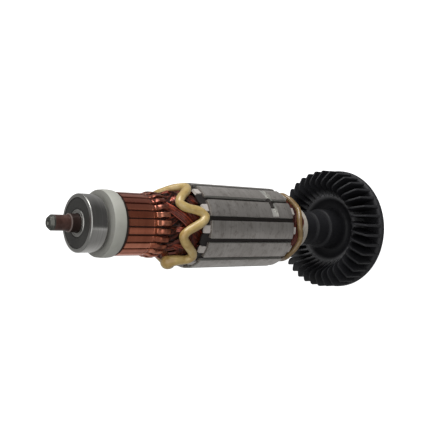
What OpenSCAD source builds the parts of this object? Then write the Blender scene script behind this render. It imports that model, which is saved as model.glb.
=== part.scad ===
// Wound armature of a universal motor: shaft, laminated core, winding, hook commutator,
// rear ball bearing and cooling fan. Millimetres. +X runs along the shaft to the drive end,
// and the origin is the middle of the seat for the drive-end bearing.

/* [Shaft] */
// Diameter of the shaft through the fan and the core
shaft_d = 11; // [10.6:0.1:11.2]
// Diameter of the seat for the drive-end bearing
seat_d = 10; // [9:0.1:10.2]
// Length of the seat for the drive-end bearing
seat_len = 9; // [7:0.5:14]
// Diameter of the seat for the pinion
pinion_d = 8; // [6:0.5:8.5]
// Length of the seat for the pinion
pinion_len = 15; // [8:1:22]
// Diameter of the shaft under the commutator
rear_d = 8; // [7.6:0.1:9]
// Diameter of the bare stub behind the rear bearing
stub_d = 5.9; // [5:0.1:6.4]
// Length of the stub outside the rear bearing
stub_len = 11.4; // [6:0.2:16]

/* [Rear bearing] */
// Bore of the rear bearing
bearing_bore = 7; // [6.6:0.1:7.4]
// Outer diameter of the rear bearing
bearing_od = 22; // [21:0.5:24]
// Width of the rear bearing
bearing_w = 7; // [7:0.5:9]
// Number of balls
ball_count = 7; // [5:1:7]
// Diameter of a ball
ball_d = 3.969; // [3.4:0.1:4.1]

/* [Commutator] */
// Diameter of the brush track
track_d = 24.5; // [23:0.5:26]
// Length of the brush track, with the turned step at its end
track_len = 15; // [12:0.2:17]
// Number of bars
bar_count = 24; // [24:24:24]
// Width of the gap between two bars
bar_gap = 0.6; // [0.4:0.05:0.9]
// Length of a hook behind the brush track
hook_len = 4.6; // [4:0.1:6]
// Length of a hook's tip over the brush track
hook_tip = 2.4; // [1.6:0.1:3]
// Distance from the hooks to the core
hook_to_core = 16.4; // [15.8:0.2:20]
// Diameter of the insulating dust collar
collar_d = 25.4; // [24.5:0.1:27]
// Length of the dust collar
collar_len = 5.3; // [4:0.1:7]

/* [Core and winding] */
// Outer diameter of the laminated core
core_d = 35.4; // [35:0.2:38]
// Length of the laminated core
core_len = 46.6; // [30:0.2:60]
// Number of slots
slot_count = 12; // [12:12:12]
// Width of a slot's mouth
slot_mouth = 2; // [1.6:0.1:2.6]
// Width of a tooth
tooth_w = 3; // [2.6:0.1:3.3]
// Overhang of the winding at the commutator end
rear_overhang = 11.5; // [10.5:0.1:12.5]
// Overhang of the winding at the fan end
front_overhang = 10.5; // [9.5:0.1:12]
// Diameter of one lead from the winding to a hook
lead_d = 0.62; // [0.5:0.02:0.7]
// Diameter of the lacing cord at the commutator end
rear_cord_d = 3.3; // [2.4:0.1:3.4]
// Diameter of the lacing cord at the fan end
front_cord_d = 2.5; // [2:0.1:3]
// Wall of the insulating sleeve on the shaft
sleeve_wall = 1.5; // [1:0.1:1.8]

/* [Fan] */
// Outer diameter of the fan
fan_d = 58; // [54:1:64]
// Number of blades
blade_count = 38; // [30:1:40]
// Thickness of a blade along its front edge
blade_t = 0.8; // [0.6:0.05:1]
// Height of a blade's crest above the back plate
crest_h = 13.3; // [12:0.1:15]
// Height of a blade at its outer edge
edge_h = 9.5; // [8:0.1:11]
// Radius of the raised ridge round the dished middle
ridge_r = 15.2; // [14.8:0.2:17]
// Length of the fan's hub in front of the back plate
hub_len = 28.3; // [24:0.1:30]

/* [Hidden] */
$fn = 64;
eps = 0.01;
// fits
press_gap = 0.01;
slip_gap = 0.03;
race_gap = 0.05;
// angular places about the shaft, from +Y towards +Z
slot_phase = 17.7;
bar_phase = 10;
blade_phase = 4.3;
slot_pitch = 360 / slot_count;
bar_pitch = 360 / bar_count;
blade_pitch = 360 / blade_count;

// stations along the shaft, from the drive end to the stub
seat_back = -seat_len / 2;
seat_to_fan = 3.2;
fan_back = seat_back - seat_to_fan;
plate_t = 3;
plate_front = fan_back - plate_t;
fan_front = plate_front - hub_len;
sleeve_flange = 6.5;
flange_back = fan_front - sleeve_flange;
flange_to_coils = 1.9;
core_front = flange_back - front_overhang - flange_to_coils;
core_rear = core_front - core_len;
hook_back = core_rear - hook_to_core;
riser_start = hook_back - hook_len;
bar_front = riser_start - track_len;
moulding_lip = 1;
moulding_front = bar_front - moulding_lip;
collar_front = moulding_front - slip_gap - collar_len;
collar_to_bearing = 1.6;
bearing_back = collar_front - collar_to_bearing;
bearing_front = bearing_back - bearing_w;
stub_end = bearing_front - stub_len;
end_face = -seat_back + pinion_len;
chamfer = 0.6;

// ---- helpers -------------------------------------------------------------------------------

// A body turned about the shaft from a profile of [radius, station] points.
module turned() rotate([90, 0, 90]) rotate_extrude() children();

// A sector of such a body, between two angles about the shaft.
module turned_sector(from, to) rotate([90, 0, 90]) rotate_extrude(angle = to - from, start = from) children();

// A cross-section in the YZ plane, carried along the shaft.
module carried(from, len) translate([from, 0, 0]) rotate([90, 0, 90]) linear_extrude(len) children();

// A radial profile of [radius, station] points lying along +Y, given a tangential thickness.
module upright(thickness) multmatrix([[0, 1, 0, 0], [1, 0, 0, 0], [0, 0, 1, -thickness / 2], [0, 0, 0, 1]])
    linear_extrude(thickness) children();

// Copies spaced evenly about the shaft.
module around(count, phase) for (k = [0 : count - 1]) rotate([phase + k * 360 / count, 0, 0]) children();

// A point at a station, a radius and an angle about the shaft.
function at(x, r, a) = [x, r * cos(a), r * sin(a)];
function mix(p, q, t) = p + (q - p) * t;
function smooth(t) = t * t * (3 - 2 * t);
function unit(v) = v / norm(v);

// Faces between closed rings of n points, with the last ring joined to the first.
function loop_faces(rings, n) = [for (i = [0 : rings - 1], j = [0 : n - 1], half = [0, 1])
    let (a = i * n + j, b = i * n + (j + 1) % n, c = ((i + 1) % rings) * n)
    half == 0 ? [a, c + j, b] : [b, c + j, c + (j + 1) % n]];

// Faces of an open tube of rings with flat ends.
function tube_faces(rings, n) = concat(
    [[for (j = [0 : n - 1]) j]],
    [[for (j = [n - 1 : -1 : 0]) (rings - 1) * n + j]],
    [for (i = [0 : rings - 2], j = [0 : n - 1], half = [0, 1])
        let (a = i * n + j, b = i * n + (j + 1) % n)
        half == 0 ? [a, a + n, b] : [b, a + n, b + n]]);

// ---- shaft ---------------------------------------------------------------------------------

journal_out = 3.5;
journal_start = bearing_front - journal_out;
module shaft() color([0.45, 0.44, 0.43]) difference() {
    turned() polygon([
        [0, stub_end], [stub_d / 2 - 0.9, stub_end], [stub_d / 2, stub_end + 1.1],
        [stub_d / 2, journal_start - 0.3], [bearing_bore / 2 - press_gap, journal_start],
        [bearing_bore / 2 - press_gap, bearing_back], [rear_d / 2, bearing_back],
        [rear_d / 2, sleeve_start - 2], [shaft_d / 2, sleeve_start - 1],
        [shaft_d / 2, seat_back - 0.3], [shaft_d / 2 - 0.3, seat_back], [seat_d / 2, seat_back],
        [seat_d / 2, -seat_back], [pinion_d / 2, -seat_back + 0.5],
        [pinion_d / 2, end_face - chamfer], [pinion_d / 2 - chamfer, end_face], [0, end_face]]);
    turned() polygon([[0, stub_end - eps], [0.9, stub_end - eps], [0.3, stub_end + 1.1], [0, stub_end + 1.1]]);
    turned() polygon([[0, end_face + eps], [1.2, end_face + eps], [0.4, end_face - 1.6], [0, end_face - 1.6]]);
}

// ---- insulating sleeve ---------------------------------------------------------------------

sleeve_r = shaft_d / 2 + sleeve_wall;
hook_to_sleeve = 2.2;
sleeve_start = hook_back + hook_to_sleeve;
module insulating_sleeve() color([0.8, 0.8, 0.78]) turned() polygon([
    [shaft_d / 2 + press_gap, sleeve_start], [sleeve_r - 0.3, sleeve_start], [sleeve_r, sleeve_start + 0.3],
    [sleeve_r, flange_back], [sleeve_r + 2.2, flange_back + 0.6], [sleeve_r + 3, flange_back + 2],
    [sleeve_r + 3, fan_front - 1], [sleeve_r + 2.4, fan_front - 0.2],
    [shaft_d / 2 + press_gap, fan_front - 0.2]]);

// ---- rear bearing --------------------------------------------------------------------------

ball_r = ball_d / 2;
pitch_r = (bearing_bore + bearing_od) / 4;
bearing_mid = bearing_front + bearing_w / 2;
seal_t = 0.7;
inner_face_r = bearing_bore / 2 + 1.75;
inner_land_r = pitch_r - 1.2;
outer_land_r = pitch_r + 1.55;
outer_face_r = bearing_od / 2 - 1.45;
ring_chamfer = 0.3;

module race() translate([pitch_r, bearing_mid]) circle(ball_r + race_gap);

module bearing_inner_ring() color([0.7, 0.7, 0.7]) turned() difference() {
    polygon([
        [bearing_bore / 2, bearing_front + ring_chamfer], [bearing_bore / 2 + ring_chamfer, bearing_front],
        [inner_face_r, bearing_front], [inner_face_r, bearing_front + 1], [inner_land_r, bearing_front + 1],
        [inner_land_r, bearing_back - 1], [inner_face_r, bearing_back - 1], [inner_face_r, bearing_back],
        [bearing_bore / 2 + ring_chamfer, bearing_back], [bearing_bore / 2, bearing_back - ring_chamfer]]);
    race();
}

module bearing_outer_ring() color([0.72, 0.72, 0.72]) turned() difference() {
    polygon([
        [outer_face_r, bearing_front], [bearing_od / 2 - ring_chamfer, bearing_front],
        [bearing_od / 2, bearing_front + ring_chamfer], [bearing_od / 2, bearing_back - ring_chamfer],
        [bearing_od / 2 - ring_chamfer, bearing_back], [outer_face_r, bearing_back],
        [outer_face_r, bearing_back - 1], [outer_land_r, bearing_back - 1],
        [outer_land_r, bearing_front + 1], [outer_face_r, bearing_front + 1]]);
    race();
}

cage_half = ball_r + 0.36;
module bearing_cage() color([0.55, 0.5, 0.35]) difference() {
    turned() translate([pitch_r - 0.75, bearing_mid - cage_half]) square([1.4, 2 * cage_half]);
    around(ball_count, 0) translate([bearing_mid, pitch_r - 2, 0]) rotate([-90, 0, 0])
        cylinder(h = 4, r = ball_r + race_gap);
}

module bearing_balls() color([0.85, 0.85, 0.86])
    around(ball_count, 0) translate([bearing_mid, pitch_r, 0]) sphere(ball_r);

// Rubber seal held in the outer ring, with a thin lip that runs clear of the inner ring.
module seal(face, inward) turned() polygon([
    [inner_face_r + 0.08, face + inward * 0.3], [inner_face_r + 0.5, face + inward * 0.12],
    [outer_face_r - 0.4, face + inward * 0.12], [outer_face_r - 0.02, face + inward * 0.3],
    [outer_face_r - 0.02, face + inward * (0.3 + seal_t)], [inner_face_r + 0.6, face + inward * (0.2 + seal_t)],
    [inner_face_r + 0.08, face + inward * 0.6]]);

module bearing_seal_rear() color([0.22, 0.22, 0.2]) seal(bearing_front, 1);
module bearing_seal_front() color([0.22, 0.22, 0.2]) seal(bearing_back, -1);

// ---- commutator ----------------------------------------------------------------------------

track_r = track_d / 2;
hook_past_bar = 1.4;
bar_back = hook_back - hook_past_bar;
riser_r = track_r - 0.7;
bar_foot_r = track_r - 3.4;
hook_t = 0.75;
hook_r = track_r + 0.95;
hook_w = 1.95;
bush_r = rear_d / 2 + 1.6;
bush_back = bar_back + 1;

// White insulating collar behind the rear bearing, recessed towards the bearing.
module dust_collar() color([0.78, 0.78, 0.75]) turned() polygon([
    [rear_d / 2 + slip_gap, collar_front + 1.2], [collar_d / 2 - 3.2, collar_front + 0.5],
    [collar_d / 2 - 2.4, collar_front], [collar_d / 2 - 0.9, collar_front],
    [collar_d / 2 - 0.25, collar_front + 0.3], [collar_d / 2, collar_front + 1],
    [collar_d / 2, collar_front + collar_len - 0.5], [collar_d / 2 - 0.4, collar_front + collar_len],
    [rear_d / 2 + slip_gap, collar_front + collar_len]]);

module commutator_bush() color([0.7, 0.6, 0.35]) turned() polygon([
    [rear_d / 2 + press_gap, moulding_front + 1], [bush_r - 0.3, moulding_front + 1],
    [bush_r - 0.3, moulding_front + 3], [bush_r, moulding_front + 3.3], [bush_r, bush_back - 3.3],
    [bush_r - 0.3, bush_back - 3], [bush_r - 0.3, bush_back], [rear_d / 2 + press_gap, bush_back]]);

// Phenolic body between the bush and the bars, with a flange in front of the bars.
module commutator_moulding() color([0.13, 0.09, 0.07]) turned() polygon([
    [rear_d / 2 + press_gap + 0.2, moulding_front], [track_r - 0.6, moulding_front],
    [track_r - 0.15, moulding_front + 0.4], [track_r - 0.15, bar_front - slip_gap],
    [bar_foot_r - 0.05, bar_front - slip_gap], [bar_foot_r - 0.05, bar_back + 0.4],
    [bar_foot_r - 0.8, bush_back], [bush_r - 0.3 + press_gap, bush_back],
    [bush_r - 0.3 + press_gap, bush_back - 3], [bush_r + press_gap, bush_back - 3.3],
    [bush_r + press_gap, moulding_front + 3.3], [bush_r - 0.3 + press_gap, moulding_front + 3],
    [bush_r - 0.3 + press_gap, moulding_front + 0.98], [rear_d / 2 + press_gap + 0.2, moulding_front + 0.98]]);

// One copper bar: brush track, turned-down riser, and the hook folded back over the riser with
// its tip pressed on the track. The sides lie parallel to the gaps between the bars.
fold_r = (hook_r - riser_r) / 2 + 0.35;
fold_mid = hook_r - fold_r;
groove_t = 0.15;
bar_apex = bar_gap / 2 / sin(bar_pitch / 2);
bar_flare = (track_r + 1 - bar_apex) * tan(bar_pitch / 2);
module commutator_bar() {
    intersection() {
        turned_sector(-bar_pitch / 2 - 1, bar_pitch / 2 + 1) polygon([
            [bar_foot_r, bar_front], [track_r - 0.2, bar_front], [track_r, bar_front + 0.2],
            [track_r, riser_start - 3.9], [track_r - groove_t, riser_start - 3.8],
            [track_r - groove_t, riser_start - 3.4], [track_r, riser_start - 3.3],
            [track_r, riser_start - 0.3], [track_r - 0.3, riser_start], [riser_r, riser_start + 0.4],
            [riser_r, bar_back], [bar_foot_r, bar_back]]);
        carried(bar_front - 1, bar_back - bar_front + 2)
            polygon([[bar_apex, 0], [track_r + 1, -bar_flare], [track_r + 1, bar_flare]]);
    }
    upright(hook_w) hook_outline();
}

// Side view of a hook: it leaves the riser, folds outwards and comes back down onto the track.
module hook_outline() {
    difference() {
        translate([fold_mid, hook_back - fold_r]) circle(fold_r);
        translate([fold_mid, hook_back - fold_r]) circle(fold_r - hook_t);
        translate([fold_mid - 2 * fold_r, hook_back - 3 * fold_r]) square([4 * fold_r, 2 * fold_r]);
    }
    polygon([
        [hook_r, hook_back - fold_r], [hook_r - hook_t, hook_back - fold_r],
        [hook_r - hook_t, riser_start + 0.9], [track_r - 0.1, riser_start - 0.5],
        [track_r - 0.1, riser_start - hook_tip], [track_r + 0.3, riser_start - hook_tip + 0.2],
        [track_r + 0.55, riser_start - 0.8], [hook_r - 0.1, riser_start + 0.3], [hook_r, riser_start + 0.9]]);
    translate([fold_mid - fold_r, bar_back - 1]) square([hook_t, hook_back - fold_r - bar_back + 1]);
}

module commutator_bars() color([0.75, 0.45, 0.3]) around(bar_count, bar_phase) commutator_bar();

// Mica strips between the bars, undercut below the brush track.
strip_w = bar_gap - 2 * slip_gap;
module bar_insulation() color([0.2, 0.13, 0.08]) around(bar_count, bar_phase + bar_pitch / 2)
    upright(strip_w) polygon([
        [bar_foot_r + 0.1, bar_front + 0.1], [track_r - 0.8, bar_front + 0.1],
        [track_r - 0.8, bar_back - 0.3], [bar_foot_r + 0.1, bar_back - 0.3]]);

// ---- core and slot insulation --------------------------------------------------------------

core_r = core_d / 2;
half_pitch = slot_pitch / 2;
slot_root = core_r - 7;
slot_roof = core_r - 1.35;
liner_roof = slot_roof - 0.85;
liner_t = 0.25;
rear_liner_out = 2;
front_liner_out = 1.6;
rear_wedge_out = 4.1;
front_wedge_out = 1;

// Half the width of a slot at a radius, its walls parallel to the neighbouring teeth.
function slot_half(r) = r * tan(half_pitch) - tooth_w / 2 / cos(half_pitch);

// Cross-section of a slot's body along +Y, drawn inwards by an inset and closed at a roof radius.
module slot_body(inset, roof) {
    wall = inset / cos(half_pitch);
    translate([slot_root, 0]) circle(slot_half(slot_root) * cos(half_pitch) - inset);
    polygon([
        [slot_root, wall - slot_half(slot_root)], [roof, wall - slot_half(roof)],
        [roof, slot_half(roof) - wall], [slot_root, slot_half(slot_root) - wall]]);
}

module slot_cut() {
    slot_body(0, slot_roof);
    translate([slot_roof - eps, -slot_mouth / 2]) square([core_r - slot_roof + 1, slot_mouth]);
}

module slotted_disc(radius, bore_r) difference() {
    circle(radius);
    circle(bore_r);
    for (k = [0 : slot_count - 1]) rotate(slot_phase + k * slot_pitch) slot_cut();
}

// Core of stacked laminations, with the flat that the balancing mill left across two teeth.
groove_front = core_front - 12.3;
groove_w = 3.6;
groove_depth = 1.75;
groove_angle = slot_phase + 4 * slot_pitch;
module laminated_core() color([0.5, 0.49, 0.47]) difference() {
    carried(core_rear, core_len) slotted_disc(core_r, sleeve_r + press_gap);
    rotate([groove_angle, 0, 0])
        translate([groove_front, core_r - groove_depth, -12]) cube([groove_w, 5, 24]);
}

// Moulded end insulator: a plate on the teeth, a short neck on the sleeve and a finger on each tooth.
insulator_t = 0.5;
neck_len = 4;
neck_t = 1.2;
finger_r = core_r - 0.5;
finger_t = 1.5;
finger_w = 3.1;
finger_slant = 0.35;
rear_finger_len = 3.5;
front_finger_len = 2.6;
module end_insulator(face, out, finger_len) {
    carried(min(face, face + out * insulator_t), insulator_t) slotted_disc(finger_r, sleeve_r + press_gap);
    around(slot_count, slot_phase + half_pitch) upright(finger_w) polygon([
        [finger_r - 0.12, face + out * insulator_t / 2],
        [finger_r - 0.35, face + out * (finger_len - finger_slant)],
        [finger_r - finger_t + 0.2, face + out * finger_len],
        [finger_r - finger_t, face + out * insulator_t / 2]]);
    turned() polygon([
        [sleeve_r + press_gap, face + out * insulator_t / 2], [sleeve_r + neck_t, face + out * insulator_t / 2],
        [sleeve_r + neck_t - 0.2, face + out * neck_len], [sleeve_r + press_gap, face + out * neck_len]]);
}

module end_insulator_rear() color([0.88, 0.86, 0.82])
    end_insulator(core_rear - press_gap, -1, rear_finger_len);
module end_insulator_front() color([0.88, 0.86, 0.82])
    end_insulator(core_front + press_gap, 1, front_finger_len);

module slot_liners() color([0.25, 0.24, 0.22]) around(slot_count, slot_phase)
    carried(core_rear - rear_liner_out, core_len + rear_liner_out + front_liner_out) difference() {
        slot_body(slip_gap, liner_roof);
        slot_body(slip_gap + liner_t, liner_roof - liner_t);
    }

// Fibre wedge that closes a slot; its rounded tongue stands out of the core at the commutator end.
wedge_gap = 0.05;
wedge_low = liner_roof + wedge_gap;
wedge_high = slot_roof - wedge_gap;
wedge_side = 0.15;
wedge_half = slot_half(wedge_high) - wedge_side;
tongue_r = 1.7;
module wedge_plan() {
    translate([tongue_r, -wedge_half])
        square([core_len + rear_wedge_out + front_wedge_out - tongue_r, 2 * wedge_half]);
    translate([0, tongue_r - wedge_half]) square([tongue_r + eps, 2 * (wedge_half - tongue_r)]);
    for (side = [-1, 1]) translate([tongue_r, side * (wedge_half - tongue_r)]) circle(tongue_r);
}
module slot_wedges() color([0.17, 0.13, 0.1]) around(slot_count, slot_phase) intersection() {
    carried(core_rear - rear_wedge_out, core_len + rear_wedge_out + front_wedge_out) polygon([
        [wedge_low, wedge_side - slot_half(wedge_low)], [wedge_high, -wedge_half],
        [wedge_high, wedge_half], [wedge_low, slot_half(wedge_low) - wedge_side]]);
    translate([core_rear - rear_wedge_out, wedge_low - 1, 0]) rotate([-90, 0, 0])
        linear_extrude(3) wedge_plan();
}

// ---- winding -------------------------------------------------------------------------------

// Each coil lies at the bottom of one slot and at the top of the fifth slot on. Its end turns
// rise over half of the span in an inner layer, cross at the nose and come back in an outer one.
coil_span = 5 * slot_pitch;
coil_out = 2.4;
slot_low_r = core_r - 6.2;
slot_high_r = core_r - 3.65;
turn_low_r = core_r - 6.6;
turn_high_r = core_r - 4.15;
low_size = [2, 2.5];
high_size = [3, 2.1];
turn_size = [1.7, 2];
turn_steps = 11;

// Width and height of the bundle, and its radius, at a share u of an end turn.
function blend_in(u) = min(1, sin(180 * u) * 3);
function bundle_size(u) = mix(u < 0.5 ? low_size : high_size, turn_size, blend_in(u));
function bundle_r(u) = mix(u < 0.5 ? slot_low_r : slot_high_r,
    mix(turn_low_r, turn_high_r, smooth(min(1, max(0, (u - 0.4) / 0.2)))), blend_in(u));

// Height of the end turn above the slot's end at a share u of the span.
function turn_rise(u, overhang) = (overhang - coil_out) * (1 - pow(abs(1 - 2 * u), 1.35));
function turn_point(u, x, out, overhang) =
    at(x + out * (coil_out + turn_rise(u, overhang)), bundle_r(u), coil_span * u);

// Eight corners of a bundle about a point, across its direction of travel.
function bundle_ring(centre, travel, size) =
    let (
        radial = unit([0, centre[1], centre[2]]),
        side = unit(cross(radial, travel)),
        w = size[0] / 2,
        h = size[1] / 2,
        c = 0.55)
    [for (k = [
        [w, h - c], [w - c, h], [c - w, h], [-w, h - c],
        [-w, c - h], [c - w, -h], [w - c, -h], [w, c - h]])
        centre + side * k[0] + radial * k[1]];

// Rings of one end turn, in the order that the wire travels.
function turn_rings(x, out, overhang) = [for (k = [0 : turn_steps])
    let (
        u = out > 0 ? k / turn_steps : 1 - k / turn_steps,
        step = 0.01,
        ahead = turn_point(min(1, u + step), x, out, overhang),
        behind = turn_point(max(0, u - step), x, out, overhang),
        travel = u < step ? [1, 0, 0] : u > 1 - step ? [-1, 0, 0] : unit(ahead - behind) * out)
    bundle_ring(turn_point(u, x, out, overhang), travel, bundle_size(u))];

coil_rings = concat(turn_rings(core_front, 1, front_overhang), turn_rings(core_rear, -1, rear_overhang));
module coil() polyhedron([for (ring = coil_rings, p = ring) p], loop_faces(len(coil_rings), 8));

module coils() color([0.45, 0.2, 0.12]) around(slot_count, slot_phase) coil();

// Two leads run from each hook, one to a slot on either side, over the end turns.
lead_start_x = hook_back - 2.6;
lead_end_x = core_rear - coil_out;
lead_start_r = riser_r + lead_d / 2 + 0.02;
lead_end_r = turn_high_r + turn_size[1] / 2 + lead_d / 2 + 0.1;
lead_lift = 1;
lead_bend = 1.4;
lead_steps = 6;
lead_sides = 6;

// Centre of a lead at a share u of its way: it bends off slowly, past the hooks, and the outer
// family is lifted clear of the inner one.
function lead_point(u, from, to, lift) = at(
    mix(lead_start_x, lead_end_x, u),
    mix(lead_start_r, lead_end_r, smooth(min(1, u * 2))) + lift * sin(27 + 153 * u),
    mix(from, to, pow(u, lead_bend)));
function lead_ring(centre) = let (radial = unit([0, centre[1], centre[2]]), side = cross([1, 0, 0], radial))
    [for (j = [0 : lead_sides - 1]) let (a = 360 * j / lead_sides)
        centre + (radial * cos(a) + side * sin(a)) * lead_d / 2];
module lead(from, to, lift) polyhedron(
    [for (i = [0 : lead_steps]) each lead_ring(lead_point(i / lead_steps, from, to, lift))],
    tube_faces(lead_steps + 1, lead_sides));

// Tangential places of the four leads in a slot's mouth and of the two under a hook, as angles.
mouth_step = 3.2;
hook_step = 6.2;
module coil_leads() color([0.6, 0.28, 0.17]) for (k = [0 : slot_count - 1], pair = [0, 1]) {
    slot_a = slot_phase + k * slot_pitch;
    bar_a = bar_phase + (2 * k + pair) * bar_pitch;
    lead(bar_a - slot_pitch + hook_step, slot_a + (pair - 1.5) * mouth_step, 0);
    lead(bar_a + slot_pitch - hook_step, slot_a + (pair + 0.5) * mouth_step, lead_lift);
}

// ---- lacing cords --------------------------------------------------------------------------

cord_steps = 6;
cord_sides = 8;
bend_run = 9.2;
knot_a = 247;
knot_swell = 0.12;

// Turning points of each cord: angle about the shaft, distance out of the core, and height above
// the end turns. The rear cord is laced by hand; the inner turns lie in the gaps between fingers.
rear_turns = [
    [84, 13.6, 0.9], [110, 5.6, 3], [142, 13.3, 2.4], [163, 3.6, 3.3], [190, 12.9, 2.4], [222, 5, 3],
    [247, 13.6, 1.7], [272, 5.2, 3], [302, 13, 2.3], [332, 5, 3], [362, 13, 2.3], [398, 5, 3]];
front_turns = [for (k = [0 : 5]) each [[22 + 60 * k, 8.6, 1.1], [52 + 60 * k, 6.4, 1.8]]];

// Centre of a cord at a place q, counted in turning points. It eases from one to the next, and
// passes every turning point at one speed, so that all the bends are alike.
function turn_angle(turns, k) = turns[k % len(turns)][0] + 360 * floor(k / len(turns));
function ease(t) = (1 - cos(180 * t)) / 2;
function cord_point(turns, face, out, q) =
    let (
        k = floor(q),
        t = q - k,
        p = turns[k % len(turns)],
        next = turns[(k + 1) % len(turns)],
        from = turn_angle(turns, k),
        to = turn_angle(turns, k + 1),
        arc = (to - from) * PI / 180 * turn_high_r,
        swing = max(0, bend_run / arc - 1) / (2 * PI))
    at(face + out * mix(p[1], next[1], ease(t)), turn_high_r + mix(p[2], next[2], ease(t)),
        mix(from, to, t + swing * sin(360 * t)));
function cord_ring(turns, face, out, q, diameter) =
    let (
        centre = cord_point(turns, face, out, q),
        travel = unit(cord_point(turns, face, out, q + 0.05) - cord_point(turns, face, out, q - 0.05)),
        radial = unit([0, centre[1], centre[2]]),
        side = unit(cross(radial, travel)),
        up = cross(travel, side))
    [for (j = [0 : cord_sides - 1]) let (t = 360 * j / cord_sides)
        centre + (side * cos(t) + up * sin(t)) * diameter / 2];

// Swelling of the rear cord where its two ends are knotted.
function swell(turns, q) =
    1 + knot_swell * exp(-pow((turn_angle(turns, floor(q + 0.5)) - 360 - knot_a) / 9, 2));
module cord(turns, face, out, diameter, knotted) {
    rings = len(turns) * cord_steps;
    polyhedron([for (i = [0 : rings - 1]) let (q = len(turns) + i / cord_steps)
        each cord_ring(turns, face, out, q, diameter * (knotted ? swell(turns, q) : 1))],
        loop_faces(rings, cord_sides));
}

module lacing_cord_rear() color([0.85, 0.75, 0.5]) cord(rear_turns, core_rear, -1, rear_cord_d, true);
module lacing_cord_front() color([0.8, 0.7, 0.5]) cord(front_turns, core_front, 1, front_cord_d, false);

// ---- fan -----------------------------------------------------------------------------------

fan_r = fan_d / 2;
ridge_h = 4.3;
ridge_front = plate_front - ridge_h;
hub_r = shaft_d / 2 + 1.2;
hub_step_1 = fan_front + 8.6;
hub_step_2 = fan_front + 16;
dish_foot_r = hub_r + 2.7;
blade_root_r = ridge_r + 0.4;
blade_end_r = fan_r - 0.4;
blade_lean = 9;

// Hub, dished middle, ridge and back plate, turned as one.
module fan_body() turned() polygon([
    [shaft_d / 2 + press_gap, fan_front], [hub_r - 0.3, fan_front], [hub_r, fan_front + 0.3],
    [hub_r, hub_step_1 - 0.4], [hub_r + 0.9, hub_step_1], [hub_r + 1.3, hub_step_1 + 0.4],
    [hub_r + 1.3, hub_step_2 - 0.3], [hub_r + 2.3, hub_step_2], [dish_foot_r, hub_step_2 + 0.5],
    [dish_foot_r, plate_front - 2.9], [ridge_r - 5.3, plate_front - 1.5], [ridge_r - 4.2, plate_front - 0.9],
    [ridge_r - 2.8, plate_front - 1.3], [ridge_r - 1.6, plate_front - 2.4], [ridge_r - 0.6, ridge_front + 0.6],
    [ridge_r, ridge_front], [ridge_r + 0.7, ridge_front], [ridge_r + 1.4, ridge_front + 0.5],
    [ridge_r + 2, ridge_front + 1.7], [ridge_r + 2.5, plate_front - 0.7], [fan_r - 3, plate_front],
    [fan_r - 1.7, plate_front], [fan_r - 0.6, plate_front + 0.5], [fan_r, plate_front + 1.6],
    [fan_r, fan_back - 0.6], [fan_r - 0.6, fan_back], [hub_r + 4, fan_back], [hub_r + 3, fan_back - 0.6],
    [hub_r, fan_back - 0.6], [hub_r, fan_back + 0.6], [shaft_d / 2 + press_gap, fan_back + 0.6]]);

// One straight blade, thicker at its foot: a drafted wedge cut to the blade's front outline. It
// starts in the ridge, leans back from the radius, and rises to a rounded crest in mid-width.
crest_front = plate_front - crest_h;
edge_front = plate_front - edge_h;
module blade() {
    start = [blade_root_r * cos(blade_lean), -blade_root_r * sin(blade_lean)];
    run = norm([blade_end_r, 0] - start);
    turn = atan2(-start[1], blade_end_r - start[0]);
    translate([0, start[0], start[1]]) rotate([turn, 0, 0]) intersection() {
        upright(4) polygon([
            [-0.8, ridge_front + 0.8], [0, ridge_front + 0.2], [0.22 * run, ridge_front - 4.1],
            [0.36 * run, crest_front + 1.6], [0.45 * run, crest_front + 0.3], [0.53 * run, crest_front],
            [0.62 * run, crest_front + 0.2], [0.81 * run, mix(crest_front, edge_front, 0.46)],
            [0.96 * run, edge_front - 0.4], [run, edge_front],
            [run, plate_front + 1.2], [-0.8, plate_front + 1.2]]);
        translate([0, -1, 0]) rotate([-90, 0, 0]) linear_extrude(run + 2) polygon([
            [crest_front - 1, -blade_t / 2], [plate_front + 2, -blade_t],
            [plate_front + 2, blade_t], [crest_front - 1, blade_t / 2]]);
    }
}

module fan() color([0.09, 0.09, 0.1]) union() {
    fan_body();
    around(blade_count, blade_phase) blade();
}

shaft();
insulating_sleeve();
bearing_inner_ring();
bearing_outer_ring();
bearing_cage();
bearing_balls();
bearing_seal_rear();
bearing_seal_front();
dust_collar();
commutator_bush();
commutator_moulding();
commutator_bars();
bar_insulation();
laminated_core();
end_insulator_rear();
end_insulator_front();
slot_liners();
slot_wedges();
coils();
coil_leads();
lacing_cord_rear();
lacing_cord_front();
fan();
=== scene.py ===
"""Looks of the wound motor armature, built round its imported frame.

Metres, +X along the shaft to the drive end. Angles about the shaft run from +Y towards +Z.
"""
import math

import bpy
import numpy as np
from mathutils import Matrix, Vector


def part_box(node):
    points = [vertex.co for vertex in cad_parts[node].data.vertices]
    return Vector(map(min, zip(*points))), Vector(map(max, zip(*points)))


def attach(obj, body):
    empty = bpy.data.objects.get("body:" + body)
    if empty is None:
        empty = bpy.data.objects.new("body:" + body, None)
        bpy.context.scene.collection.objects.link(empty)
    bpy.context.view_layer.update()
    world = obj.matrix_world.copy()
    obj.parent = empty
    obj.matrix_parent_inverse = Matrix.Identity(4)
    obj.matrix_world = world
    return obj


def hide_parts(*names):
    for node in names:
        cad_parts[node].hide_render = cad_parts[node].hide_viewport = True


MM = 0.001
TURN = 2 * math.pi

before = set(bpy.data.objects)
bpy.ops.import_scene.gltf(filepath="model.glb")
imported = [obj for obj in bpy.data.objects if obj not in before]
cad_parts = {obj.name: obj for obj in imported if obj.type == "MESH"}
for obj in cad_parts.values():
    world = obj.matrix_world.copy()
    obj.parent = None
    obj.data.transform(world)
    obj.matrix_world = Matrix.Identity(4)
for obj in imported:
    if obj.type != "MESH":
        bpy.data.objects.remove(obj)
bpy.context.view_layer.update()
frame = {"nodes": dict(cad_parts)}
rng = np.random.default_rng(7)


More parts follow.
